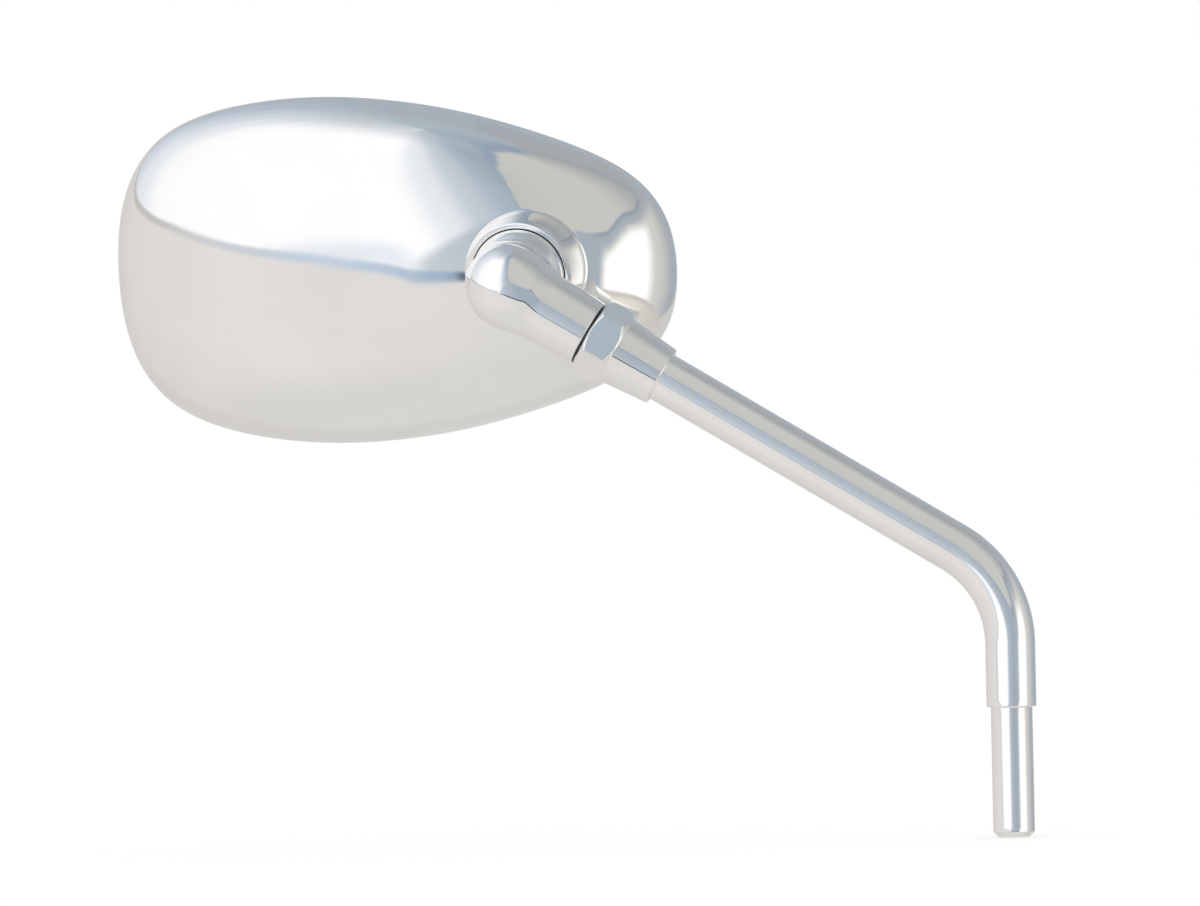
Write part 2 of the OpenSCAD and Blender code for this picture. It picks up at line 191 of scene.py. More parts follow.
def makeCamera():
    turn, roll = radians(view["turn"]), radians(view["roll"])
    toCamera = Vector((sin(turn), -cos(turn), 0))
    right, up = Vector((cos(turn), sin(turn), 0)), Vector((0, 0, 1))
    across, upward = cos(roll) * right - sin(roll) * up, sin(roll) * right + cos(roll) * up
    data = bpy.data.cameras.new("camera")
    data.sensor_width, data.lens, data.clip_end = view["sensor"], view["lens"], view["far"]
    camera = bpy.data.objects.new("camera", data)
    bpy.context.scene.collection.objects.link(camera)
    camera.matrix_world = Matrix((across, upward, toCamera)).transposed().to_4x4()
    camera.location = Vector(view["aim"]) * mm + toCamera * view["distance"]
    bpy.context.scene.camera = camera
    return toCamera, right


toCamera, toRight = makeCamera()
print("camera placed")


stemSize = {"rod": 6.0, "pin": 5.0, "pinLength": 31.0, "chamfer": 1.2, "bendRadius": 27.0, "bendSteps": 64,
            "shoulderRound": 0.4, "shoulderAt": 36.5, "shoulderDrop": 0.5, "threadEnd": 8.0,
            "threadStart": 9.2, "threadMajor": 4.94, "threadMinor": 4.2, "rootCover": 0.03, "pitch": 1.25,
            "flank": 0.42, "crest": 0.12, "threadTurns": 20, "sides": 96}


def makeThread():        # one tooth of the thread, wound up the threaded end with Screw
    s = stemSize
    thread = onePoint("thread", s["threadMinor"], 0)
    deep = s["threadMajor"] - s["threadMinor"]
    flank, crest = s["flank"] * s["pitch"], s["crest"] * s["pitch"]
    for dx, dz in [(deep, flank), (0, crest), (-deep, flank)]:
        bpy.ops.mesh.extrude_vertices_move(TRANSFORM_OT_translate={"value": (dx, 0, dz)})
    endEdit()
    bpy.ops.object.transform_apply(location=True, rotation=True, scale=True)
    steps = s["sides"] // 2
    applied(thread, "SCREW", axis="Z", angle=2 * pi, screw_offset=s["pitch"], iterations=s["threadTurns"],
            steps=steps, render_steps=steps, use_merge_vertices=True, merge_threshold=0.001)
    return moved(thread, alongArm @ Matrix.Translation((0, 0, s["threadStart"])))


def makeStem():
    s = stemSize
    run = s["bendRadius"] * tan(bend / 2)        # from the bend's corner to where the bend starts
    bendStart = layout["cornerRise"] - run
    chamferTop = -s["pinLength"] + s["chamfer"]
    r = s["shoulderRound"]

    # rings up the pin and over the shoulder, height and radius, close together where an edge is eased
    pin = [(chamferTop - 0.05, s["pin"] - 0.05), (chamferTop + 0.07, s["pin"]), (chamferTop + 1, s["pin"]),
           (-1, s["pin"]), (-0.15, s["pin"]), (0, s["pin"] + 0.12)]
    shoulder = [(r * (1 - cos(radians(q))), s["rod"] - r + r * sin(radians(q))) for q in range(0, 91, 15)]
    radius = s["pin"] - s["chamfer"]
    centre = Vector((0, 0, -s["pinLength"]))
    pickOnly(None)
    bpy.ops.mesh.primitive_circle_add(vertices=s["sides"], radius=radius, location=tuple(centre))
    stem = named("stemBar")
    startEdit(stem)
    bpy.ops.mesh.select_all(action="SELECT")

    def nextRing(spot, size):
        nonlocal centre, radius
        bpy.ops.mesh.extrude_edges_move(TRANSFORM_OT_translate={"value": tuple(spot - centre)})
        if abs(size - radius) > 1e-6:
            bpy.ops.transform.resize(value=(size / radius,) * 3, center_override=tuple(spot))
        centre, radius = spot, size

    for z, size in pin + shoulder + [(1.5, s["rod"]), (bendStart, s["rod"])]:
        nextRing(Vector((0, 0, z)), size)
    bpy.ops.mesh.spin(steps=s["bendSteps"], angle=bend, center=(-s["bendRadius"], 0, bendStart),
                      axis=(0, 1, 0))

    # from the bend to the second shoulder, then down to the core that the thread is wound on
    along = Vector((sin(bend), 0, -cos(bend)))
    centre = knuckle + along * (layout["armLength"] - run)
    first, drop, core = s["shoulderAt"], s["shoulderDrop"], s["threadMinor"] + s["rootCover"]
    for far, size in [(first + drop, s["rod"]), (first + 0.3 * drop, s["rod"] - 0.3 * drop),
                      (first, s["rod"] - drop), (first, core), (s["threadEnd"] + 0.4, core),
                      (s["threadEnd"], s["threadMinor"] - 0.4)]:
        nextRing(knuckle + along * far, size)
    bpy.ops.mesh.select_all(action="SELECT")
    bpy.ops.mesh.fill_holes(sides=0)
    endEdit()
    bpy.ops.object.transform_apply(location=True, rotation=True, scale=True)
    joined(stem, makeThread())
    tidyMesh(stem, 0.0002)
    place(stem, Matrix.Identity(4))
    evenShade(stem, 28)
    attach(stem, "stem")
    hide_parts("stem")
    return stem


stemBar = makeStem()
print("stem made,", len(stemBar.data.polygons), "faces")


nutSize = {"flats": 17.0, "hexLength": 7.5, "skirtLength": 12.4, "skirtWide": 8.4, "skirtNarrow": 7.3,
           "turn": 22, "start": layout["elbowEnd"] + layout["washer"], "chamfer": 1.2, "skirtChamfer": 1.55,
           "faceIn": 0.1, "past": 0.2, "bore": 5.1, "boreChamfer": 0.5, "boreStep": 0.7, "skirtBore": 6.12,
           "flare": 0.6, "flareIn": 0.4, "flareOut": 0.2, "skirtRound": 0.3, "edge": 0.26, "sides": 192}


def makeNut():
    s = nutSize
    corner = s["flats"] / 2 / cos(radians(30))
    x1, x2 = s["start"], s["start"] + s["hexLength"]
    x3 = x2 + s["skirtLength"]
    pickOnly(None)
    bpy.ops.mesh.primitive_cylinder_add(vertices=6, radius=corner, depth=s["hexLength"],
                                        location=(0, 0, (x1 + x2) / 2),
                                        rotation=(0, 0, radians(90 + s["turn"])))
    nut = named("clampNut")
    bpy.ops.object.transform_apply(location=True, rotation=True, scale=True)
    face, beyond = s["flats"] / 2 - s["faceIn"], corner + s["past"]
    turned = lathe("turned", [(0, x1), (face, x1), (beyond, x1 + s["chamfer"]),
                              (beyond, x2 - s["skirtChamfer"]), (face, x2), (0, x2)], s["sides"])
    combined(nut, turned, "INTERSECT")
    soft = s["skirtRound"]
    skirt = lathe("skirt", [(0, x2 - spare), (s["skirtWide"], x2 - spare), (s["skirtWide"], x2)]
                  + arc((s["skirtNarrow"] - soft, x3 - soft), soft, 0, 90, 5) + [(0, x3)], s["sides"])
    combined(nut, skirt, "UNION")
    bore, wide, cut, wider = s["bore"], s["skirtBore"], s["boreChamfer"], s["skirtBore"] + s["flare"]
    step = x2 + s["boreStep"]
    hole = lathe("hole", [(0, x1 - spare), (bore + cut, x1 - spare), (bore + cut, x1), (bore, x1 + cut),
                          (bore, step), (wide, step), (wide, x3 - s["flareIn"]),
                          (wider, x3 + s["flareOut"]), (wider, x3 + spare), (0, x3 + spare)], s["sides"])
    combined(nut, hole, "DIFFERENCE")
    applied(nut, "BEVEL", width=s["edge"], segments=3, limit_method="ANGLE", angle_limit=radians(32),
            use_clamp_overlap=False, harden_normals=False)
    place(nut, alongArm)
    evenShade(nut, 26)
    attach(nut, "lock_nut")
    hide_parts("lock_nut")
    return nut


washerSize = {"inner": 5.12, "outer": 7.8, "start": layout["elbowEnd"], "thick": layout["washer"],
              "edge": 0.12}


def makeWasher():
    s = washerSize
    inner, outer, edge = s["inner"], s["outer"], s["edge"]
    x1, x2 = s["start"], s["start"] + s["thick"]
    outline = [(inner, x1 + edge), (inner + edge, x1), (outer - edge, x1), (outer, x1 + edge),
               (outer, x2 - edge), (outer - edge, x2), (inner + edge, x2), (inner, x2 - edge)]
    washer = lathe("lockWasher", outline + outline[:1])
    place(washer, alongArm)
    evenShade(washer, 25)
    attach(washer, "lock_washer")
    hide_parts("lock_washer")
    return washer


clampNut = makeNut()
lockWasher = makeWasher()
print("clamp nut made,", len(clampNut.data.polygons), "faces")


elbowSize = {"ball": 11.5, "neck": 9.55, "knuckle": 10.2, "height": layout["knuckleHeight"],
             "armWide": 8.7, "armNarrow": 8.2, "armFrom": 9.5, "armStart": 6.0, "length": layout["elbowEnd"],
             "endRound": 0.35, "blend": 3.2, "ballBlend": 0.7, "voxel": 0.26, "passes": 8, "onSkin": 0.06,
             "bore": 5.06, "boreStart": 7.0, "studHole": 2.56, "studDepth": 4.5}


def softMin(a, b, size):
    near = np.maximum(size - np.abs(a - b), 0) / size
    return np.minimum(a, b) - near * near * size / 4


def neckRadius(z):        # the neck widens softly into the knuckle
    s = elbowSize
    knots = [(-20, s["neck"]), (7, s["neck"]), (9, s["neck"] + 0.15), (11.2, s["knuckle"] - 0.25),
             (12.8, s["knuckle"] - 0.06), (s["height"], s["knuckle"])]
    return np.interp(z, *zip(*knots))


def elbowSkin(p):
    # signed distance, about, to the cast skin: ball, neck, domed knuckle and tapered arm, blended
    s = elbowSize
    ball = np.linalg.norm(p, axis=1) - s["ball"]
    neck = np.maximum(np.hypot(p[:, 0], p[:, 1]) - neckRadius(p[:, 2]), 2 - p[:, 2])
    q = p - np.array([0, 0, s["height"]])
    dome = np.linalg.norm(q, axis=1) - s["knuckle"]
    head = np.where(p[:, 2] > s["height"], dome, neck)
    slope = (s["armWide"] - s["armNarrow"]) / (s["length"] - s["armFrom"])
    far = np.hypot(q[:, 1], q[:, 2])
    side = far - (s["armWide"] - slope * (q[:, 0] - s["armFrom"]))
    start = np.hypot(far, q[:, 0] - s["armStart"]) - s["armWide"] - slope * (s["armFrom"] - s["armStart"])
    arm = np.where(q[:, 0] < s["armStart"], start, side) + s["endRound"]
    end = q[:, 0] - s["length"] + s["endRound"]
    outside = np.hypot(np.maximum(arm, 0), np.maximum(end, 0))
    barrel = outside + np.minimum(np.maximum(arm, end), 0) - s["endRound"]
    return softMin(softMin(ball, head, s["ballBlend"]), barrel, s["blend"])


def skinSlope(p, step=0.01):
    return np.stack([(elbowSkin(p + d) - elbowSkin(p - d)) / (2 * step) for d in np.eye(3) * step], axis=1)


def drawOnSkin(elbow):        # the remeshed skin is drawn on to the blended form
    spots = readAll(elbow.data.vertices, "co")
    for _ in range(elbowSize["passes"]):
        slope = skinSlope(spots)
        spots -= slope * (elbowSkin(spots) / np.maximum((slope ** 2).sum(1), 0.2))[:, None]
    elbow.data.vertices.foreach_set("co", spots.ravel())
    elbow.data.update()


def shadeBySkin(elbow):        # the skin's own slope gives the shading, the drilled faces keep theirs
    mesh = elbow.data
    for face in mesh.polygons:
        face.use_smooth = True
    spots = readAll(mesh.vertices, "co")
    slope = skinSlope(spots)
    slope /= np.maximum(np.linalg.norm(slope, axis=1), 1e-6)[:, None]
    near = np.abs(elbowSkin(spots)) < elbowSize["onSkin"]
    spotOf = readAll(mesh.loops, "vertex_index", 1, int)
    corners = readAll(mesh.polygons, "loop_total", 1, int)
    flat = np.repeat(readAll(mesh.polygons, "normal"), corners, axis=0)
    depth = np.repeat(elbowSkin(readAll(mesh.polygons, "center")), corners)
    follow = near[spotOf] & (depth > -0.05) & ((slope[spotOf] * flat).sum(1) > 0.3)
    mesh.normals_split_custom_set(np.where(follow[:, None], slope[spotOf], flat).tolist())


def makeElbow():
    # a rough form first, then an even net of faces, which is drawn on to the exact skin and drilled
    s = elbowSize
    h = s["height"]
    alongElbow = Matrix.Translation((0, 0, h)) @ Matrix.Rotation(pi / 2, 4, "Y")
    elbow = lathe("elbowCasting", [(0, -s["ball"])] + arc((0, 0), s["ball"], -84, 54, 40)
                  + [(s["neck"], 10), (s["knuckle"], h)] + arc((0, h), s["knuckle"], 6, 84, 24)
                  + [(0, h + s["knuckle"])], 160)
    arm = lathe("arm", [(0, 3), (s["armWide"] + 0.5, 3), (s["armWide"], s["armFrom"]),
                        (s["armNarrow"], s["length"] - 0.3), (s["armNarrow"] - 0.3, s["length"]),
                        (0, s["length"])], 160)
    combined(elbow, moved(arm, alongElbow), "UNION")
    applied(elbow, "REMESH", mode="VOXEL", voxel_size=s["voxel"], use_smooth_shade=True)
    drawOnSkin(elbow)
    bore, start, end = s["bore"], s["boreStart"], s["length"]
    drill = lathe("bore", [(0, start), (bore - 1, start + 0.2), (bore, start + 1.5), (bore, end - 0.5),
                           (bore + 0.7, end + 0.2), (bore + 0.7, end + spare), (0, end + spare)], 96)
    combined(elbow, moved(drill, alongElbow), "DIFFERENCE")
    below = -s["ball"] - 2
    hole = lathe("hole", [(0, below), (s["studHole"], below), (s["studHole"], s["studDepth"]),
                          (0, s["studDepth"])], 48)
    combined(elbow, hole, "DIFFERENCE")
    shadeBySkin(elbow)
    place(elbow, ballFrame)
    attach(elbow, "elbow")
    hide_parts("elbow")
    return elbow


elbowCasting = makeElbow()
print("elbow made,", len(elbowCasting.data.polygons), "faces")


headSize = {"length": 140.0, "height": 84.2, "depth": 26.0, "full": 2.6, "outline": 2.2, "taper": 0.18,
            "egg2": 0.04, "egg3": 0.03, "egg4": 0.3, "wall": 1.3, "ballU": 36.8, "ballV": 3.9,
            "mouthHeight": 28.5, "mouth": 13.0, "mouthEase": 0.35, "sink": 1.4, "bossSlope": 6.0,
            "bossBlend": 2.2, "bossReach": 3.5, "lip": 11.6, "lipThick": 0.6, "socket": 12.32,
            "under": 13.82, "underBlend": 0.6, "hole": 5.2, "around": 320, "gather": 25.8,
            "rimRound": [(0.93, 0.18), (0.75, 0.28), (0.45, 0.3), (0.22, 0.24), (0.06, 0.11)],
            "mouthRound": [(0, -0.36), (-0.03, -0.22), (-0.1, -0.1), (-0.2, -0.06), (-0.3, -0.052)],
            "lipRound": [(0.3, 0), (0.2, -0.01), (0.1, -0.05), (0.03, -0.12), (0, -0.25)]}
rimZ = headSize["sink"] - headSize["mouthHeight"]


def narrow(x):
    s = headSize
    return 1 - s["taper"] * x - s["egg2"] * x ** 2 - s["egg3"] * x ** 3 + s["egg4"] * x ** 4


def eggLevel(u, v, inset):
    s = headSize
    x = u / (s["length"] / 2 - inset)
    y = v / ((s["height"] / 2 - inset) * narrow(x))
    return (np.abs(x) ** s["outline"] + np.abs(y) ** s["outline"]) ** (1 / s["outline"])


def fromBall(r, angle):        # a place round the ball's axis, measured from the head's middle
    return headSize["ballU"] + r * np.cos(angle), headSize["ballV"] + r * np.sin(angle)


def eggReach(angle, inset):        # from the ball's axis to the outline, by halving
    low, high = np.zeros_like(angle), np.full_like(angle, headSize["length"])
    for _ in range(40):
        middle = (low + high) / 2
        beyond = eggLevel(*fromBall(middle, angle), inset) > 1
        low, high = np.where(beyond, low, middle), np.where(beyond, middle, high)
    return (low + high) / 2


def domeHeight(r, angle, inset):
    level = np.minimum(1, eggLevel(*fromBall(r, angle), inset))
    return (headSize["depth"] - inset) * np.sqrt(np.maximum(0, 1 - level ** headSize["full"]))


def fillet(d, b, size):        # the larger of two heights, with a round where they cross
    e = b - d
    return np.where(e < -size, d, np.where(e > size, b, d + (e + size) ** 2 / (4 * size)))


def backHeight(r, angle):        # the dome and the socket's wall
    s = headSize
    wall = s["mouthHeight"] - s["mouthEase"] - s["bossSlope"] * (r - s["mouth"])
    return fillet(domeHeight(r, angle, 0), wall, s["bossBlend"])


def innerHeight(r, angle):        # the shell's inside and the underside of the socket's bowl
    inside = domeHeight(r, angle, headSize["wall"])
    under = headSize["under"]
    bowl = np.where(r < under - 0.01, -rimZ - np.sqrt(np.maximum(0, under ** 2 - r ** 2)), 100.0)
    return -fillet(-inside, -bowl, headSize["underBlend"])


def outsideRows(angle, outer):        # from the rim over the dome and up the socket's wall
    mouth = headSize["mouth"]
    far = mouth + headSize["bossReach"]
    rows = [(outer, rimZ)]
    # rows lie closer together near the wall, where the dome's fillet starts, and on the fillet
    for q in np.concatenate([np.linspace(0, pi * 0.37, 60)[1:], np.linspace(pi * 0.375, pi / 2, 40)]):
        r = far + np.cos(q) * (outer - far)
        rows.append((r, rimZ + backHeight(r, angle)))
    for beyond in [*np.linspace(3.1, 1.6, 6), *np.linspace(1.45, 0.1, 28), 0.05]:
        r = np.full_like(angle, mouth + beyond)
        rows.append((r, rimZ + backHeight(r, angle)))
    return rows


def mouthRows():        # the mouth's eased edge, its flat top, the lip, the ball's bowl and the stud's hole
    s = headSize
    top, lip, bowl, hole = s["sink"], s["lip"], s["socket"], s["hole"]
    edge = [(s["mouth"] + out, top + up) for out, up in s["mouthRound"]]
    edge += [(lip + out, top + up) for out, up in s["lipRound"]] + [(lip, top - s["lipThick"])]
    inside = [(bowl * cos(radians(q)), -bowl * sin(radians(q))) for q in np.linspace(-3.7, 65, 18)]
    return edge + inside + [(hole, -sqrt(bowl ** 2 - hole ** 2))]


def insideRows(angle, inner):        # from the stud's hole under the bowl and out to the rim
    far = headSize["mouth"] + headSize["bossReach"]
    rows = []
    for beyond in np.linspace(0, 9.4, 22):
        r = np.full_like(angle, headSize["hole"] + beyond)
        rows.append((r, rimZ + innerHeight(r, angle)))
    for q in np.linspace(0.06, 1, 30):
        r = far + np.sin(q * pi / 2) * (inner - far)
        rows.append((r, rimZ + (innerHeight(r, angle) if q < 1 else 0.1)))
    return rows


def makeHead():
    s = headSize
    turn = ringTurns(s["around"])
    angle = turn + radians(s["gather"]) * np.sin(turn)        # columns gather towards the far end
    outer, inner = eggReach(angle, 0), eggReach(angle, s["wall"])
    rows = outsideRows(angle, outer) + mouthRows() + insideRows(angle, inner)
    rows += [(outer - inset, rimZ - drop) for inset, drop in s["rimRound"]] + rows[:1]
    even = np.zeros_like(angle)
    points = np.stack([np.column_stack([r * np.cos(angle), r * np.sin(angle), z + even]) for r, z in rows])
    head = wrapped("headShell", points)
    place(head, headFrame)
    smoothBelow(head, 35)
    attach(head, "head")
    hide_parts("head_shell")
    return head


headShell = makeHead()
print("head made,", len(headShell.data.polygons), "faces")


def makeDustRing():
    s = headSize
    low, high = 0.1, s["sink"] - s["lipThick"] - 0.05
    inner, outer = elbowSize["ball"] + 0.05, s["socket"] - 0.12
    outline = [(inner, low), (outer + 0.02, low), (outer, high - 0.2), (outer - 0.12, high - 0.05),
               (outer - 0.3, high), (inner + 0.25, high), (inner + 0.1, high - 0.08),
               (inner + 0.05, high - 0.25)]
    ring = lathe("dustRing", outline + outline[:1])
    place(ring, headFrame)
    smoothBelow(ring, 40)
    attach(ring, "head")
    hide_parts("dust_ring")
    return ring


dustRing = makeDustRing()

glassSize = {"thick": 2.0, "curve": 1200.0, "proud": 3.0, "inset": 2.7, "lip": 0.7, "film": 0.35,
             "around": 288, "edge": 0.3, "gasketOut": 0.8, "gasketGap": 0.1, "gasketFront": -0.5,
             "gasketBack": 0.9, "gasketSeat": 0.4, "gasketStep": 0.2}


def eggRing(turn, inset):
    s = headSize
    x = np.sign(np.cos(turn)) * np.abs(np.cos(turn)) ** (2 / s["outline"])
    y = np.sign(np.sin(turn)) * np.abs(np.sin(turn)) ** (2 / s["outline"])
    return np.stack([(s["length"] / 2 - inset) * x, (s["height"] / 2 - inset) * y * narrow(x)], axis=1)


def glassHeight(p, lift):
    return rimZ - glassSize["proud"] + lift + (p ** 2).sum(1) / (2 * glassSize["curve"])


def onGlass(p, height):
    return np.column_stack([p - np.array([headSize["ballU"], headSize["ballV"]]), height])


def makeGlass():
    s = glassSize
    whole = eggRing(ringTurns(s["around"]), s["inset"])
    front = [(f, 0) for f in np.linspace(0, 0.985, 16)] + [(0.994, 0)]
    side = [(1, 0.35), (1, s["thick"] - s["edge"]), (0.995, s["thick"])]
    back = [(f, s["thick"]) for f in np.linspace(0.98, 0, 10)]
    rings = [onGlass(whole * f, glassHeight(whole * f, lift)) for f, lift in front + side + back]
    glass = wrapped("mirrorGlass", np.stack(rings))
    place(glass, headFrame)
    smoothBelow(glass, 30)
    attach(glass, "head")
    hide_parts("mirror_glass")
    return glass


def gasketSection(front, back):        # points as inset from the outline, the level they stand on, and lift
    s = glassSize
    edge, gap, soft = s["inset"], s["gasketGap"], s["edge"]
    out, inn = edge - s["gasketOut"], edge + s["lip"]
    lowest, highest, step = s["gasketFront"], s["gasketBack"], s["gasketStep"]
    section = [(out, front, lowest)]
    section += [(out + soft - soft * cos(radians(q)), front, lowest - soft * sin(radians(q)))
                for q in (20, 45, 70, 90)]
    section += [(inn - soft + soft * sin(radians(q)), front, lowest - soft * cos(radians(q)))
                for q in (0, 25, 50, 75, 90)]
    section += [(inn - 0.05, front, -gap - 0.1), (inn - step, front, -gap), (edge - gap, front, -gap),
                (edge - gap, back, gap), (inn + s["gasketSeat"], back, gap),
                (inn + s["gasketSeat"], back, highest), (out + step, back, highest)]
    return section + section[:1]


def makeGasket():
    s = glassSize
    turn = ringTurns(s["around"])
    base = eggRing(turn, s["inset"])
    front, back = glassHeight(base, 0), glassHeight(base, s["thick"] + s["film"])
    rings = [onGlass(eggRing(turn, inset), level + lift)
             for inset, level, lift in gasketSection(front, back)]
    gasket = wrapped("glassGasket", np.stack(rings))
    place(gasket, headFrame)
    smoothBelow(gasket, 40)
    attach(gasket, "head")
    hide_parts("glass_gasket")
    return gasket


mirrorGlass = makeGlass()
glassGasket = makeGasket()
print("glass and gasket made")


class Wire:        # a socket that Python's operators add Math nodes to
    def __init__(self, tree, socket=None):
        self.tree, self.socket = tree, socket

    def node(self, kind, settings=None, sockets=None, out=0):
        made = self.tree.nodes.new(kind)
        for key, value in (settings or {}).items():
            if key == "stops":
                for _ in range(len(value) - 2):
                    made.color_ramp.elements.new(0.5)
                for element, (position, colour) in zip(made.color_ramp.elements, value):
                    element.position, element.color = position, (*colour, 1)
            else:
                setattr(made, key, value)
        for key, value in (sockets or {}).items():
            if isinstance(value, Wire):
                self.tree.links.new(value.socket, made.inputs[key])
            else:
                made.inputs[key].default_value = value
        return Wire(self.tree, made.outputs[out]) if made.outputs else made

    def math(self, operation, *values, clamp=False):
        settings = {"operation": operation, "use_clamp": clamp}
        return self.node("ShaderNodeMath", settings, dict(enumerate(values)))

    def __add__(self, other):
        return self.math("ADD", self, other)

    def __sub__(self, other):
        return self.math("SUBTRACT", self, other)

    def __rsub__(self, other):
        return self.math("SUBTRACT", other, self)

    def __mul__(self, other):
        return self.math("MULTIPLY", self, other)

    def __truediv__(self, other):
        return self.math("DIVIDE", self, other)

    __radd__ = __add__

    def step(self, low, high):        # 0 below low, 1 above high, smooth between
        settings = {"interpolation_type": "SMOOTHSTEP"}
        return self.node("ShaderNodeMapRange", settings, {0: self, 1: low, 2: high})

    def within(self, rise, fall):        # 1 between two soft borders, each from a first to a second value
        return self.step(*rise) * (1 - self.step(*fall))

    def tint(self, first, second):        # this mask takes colour first to colour second
        first, second = (c if isinstance(c, Wire) else (*c, 1) for c in (first, second))
        return self.node("ShaderNodeMix", {"data_type": "RGBA"}, {0: self, 6: first, 7: second}, 2)

    def ramp(self, stops, mode="LINEAR"):
        made = self.node("ShaderNodeValToRGB", {"stops": stops}, {0: self})
        made.socket.node.color_ramp.interpolation = mode
        return made


def shown(code):        # a colour as it shows on screen, to light values
    parts = [int(code[i:i + 2], 16) / 255 for i in (0, 2, 4)]
    return tuple(c / 12.92 if c <= 0.04045 else ((c + 0.055) / 1.055) ** 2.4 for c in parts)


def newMaterial(name):
    made = bpy.data.materials.new(name)
    made.use_nodes = True
    made.node_tree.nodes.clear()
    return made, Wire(made.node_tree)


def finishMaterial(wires, sockets):
    shader = wires.node("ShaderNodeBsdfPrincipled", None, sockets)
    wires.node("ShaderNodeOutputMaterial", None, {0: shader})


def dress(obj, material):
    obj.data.materials.clear()
    obj.data.materials.append(material)


chromeLook = {"colour": (0.88, 0.88, 0.885), "smudge": (0.84, 0.835, 0.825), "smudgeScale": 45,
              "smudgeSteps": (0.42, 0.72), "smudgeTint": 0.5, "fineScale": 900, "fineSteps": (0.45, 0.8),
              "fineHaze": 0.5, "fineHeight": 0.08, "ringScale": 1300, "ringHeight": 0.9, "ringHaze": 0.09,
              "pinTop": (-0.0006, -0.0001), "bumpSize": 0.00001}


def chrome(name, roughness, haze, dull=0.0, turned=False):
    look = chromeLook
    made, w = newMaterial(name)
    spot = w.node("ShaderNodeTexCoord", None, None, "Object")
    cloud = w.node("ShaderNodeTexNoise", {"noise_dimensions": "3D"},
                   {0: spot, "Scale": look["smudgeScale"], "Detail": 4, "Roughness": 0.6})
    fine = w.node("ShaderNodeTexNoise", {"noise_dimensions": "3D"},
                  {0: spot, "Scale": look["fineScale"], "Detail": 3, "Roughness": 0.6})
    smudge = cloud.step(*look["smudgeSteps"])
    rough = roughness + smudge * haze + fine.step(*look["fineSteps"]) * (haze * look["fineHaze"])
    height = fine * look["fineHeight"]
    if turned:        # fine rings left by the lathe on the plain pin
        along = w.node("ShaderNodeSeparateXYZ", None, {0: spot}, 2)
        onPin = 1 - along.step(*look["pinTop"])
        rings = w.node("ShaderNodeTexNoise", {"noise_dimensions": "1D"},
                       {"W": along, "Scale": look["ringScale"], "Detail": 3})
        height = height + onPin * rings * look["ringHeight"]
        rough = rough + onPin * rings * look["ringHaze"]
    colour = (smudge * look["smudgeTint"] + dull).tint(look["colour"], look["smudge"])
    bump = w.node("ShaderNodeBump", None, {"Strength": 1.0, "Distance": look["bumpSize"], "Height": height})
    finishMaterial(w, {"Base Color": colour, "Metallic": 1.0, "Roughness": rough, "Normal": bump})
    return made


grainLook = {"steps": (0.3, 0.7), "haze": 0.2, "bump": 0.3}


def plainLook(name, colour, second, roughness, metallic=0.0, scale=600, bumpSize=0.0001):
    made, w = newMaterial(name)
    spot = w.node("ShaderNodeTexCoord", None, None, "Object")
    grain = w.node("ShaderNodeTexNoise", None, {0: spot, "Scale": scale, "Detail": 4, "Roughness": 0.6})
    rough = roughness + (grain - 0.5) * grainLook["haze"]
    bump = w.node("ShaderNodeBump", None,
                  {"Strength": grainLook["bump"], "Distance": bumpSize, "Height": grain})
    shade = grain.step(*grainLook["steps"]).tint(colour, second)
    finishMaterial(w, {"Base Color": shade, "Metallic": metallic, "Roughness": rough, "Normal": bump})
    return made


headChrome = chrome("headChrome", 0.035, 0.04, 0.05)
fittingChrome = chrome("fittingChrome", 0.03, 0.03)
rodChrome = chrome("rodChrome", 0.03, 0.03, turned=True)
darkSteel = plainLook("darkSteel", (0.05, 0.05, 0.055), (0.1, 0.1, 0.11), 0.4, 0.9)
zincSteel = plainLook("zincSteel", (0.6, 0.61, 0.63), (0.7, 0.71, 0.72), 0.35, 1.0)
blueInsert = plainLook("blueInsert", (0.08, 0.18, 0.5), (0.12, 0.25, 0.6), 0.45)
seatPlastic = plainLook("seatPlastic", (0.04, 0.04, 0.04), (0.06, 0.06, 0.06), 0.5)
blackRubber = plainLook("blackRubber", (0.022, 0.022, 0.023), (0.04, 0.04, 0.04), 0.6)
filmLook = plainLook("filmLook", (0.18, 0.18, 0.19), (0.24, 0.24, 0.25), 0.6)
foamLook = plainLook("foamLook", (0.05, 0.05, 0.05), (0.14, 0.14, 0.14), 0.95, 0, 900, 0.0006)
mirrorLook = chrome("mirrorLook", 0.012, 0.01)

dress(stemBar, rodChrome)
dress(clampNut, fittingChrome)
dress(elbowCasting, fittingChrome)
dress(headShell, headChrome)
dress(mirrorGlass, mirrorLook)
dress(glassGasket, blackRubber)
dress(dustRing, blackRubber)
dress(lockWasher, darkSteel)
for node, look in {"pivot_stud": zincSteel, "pressure_cup": zincSteel, "disc_spring_1": darkSteel,
                   "disc_spring_2": darkSteel, "pivot_washer": zincSteel, "pivot_nut": zincSteel,
                   "nut_insert": blueInsert, "ball_seat": seatPlastic, "backing_film": filmLook,
                   "foam_block_1": foamLook, "foam_block_2": foamLook, "foam_block_3": foamLook}.items():
    for slot in nodes[node].material_slots:
        slot.material = look
print("materials set")


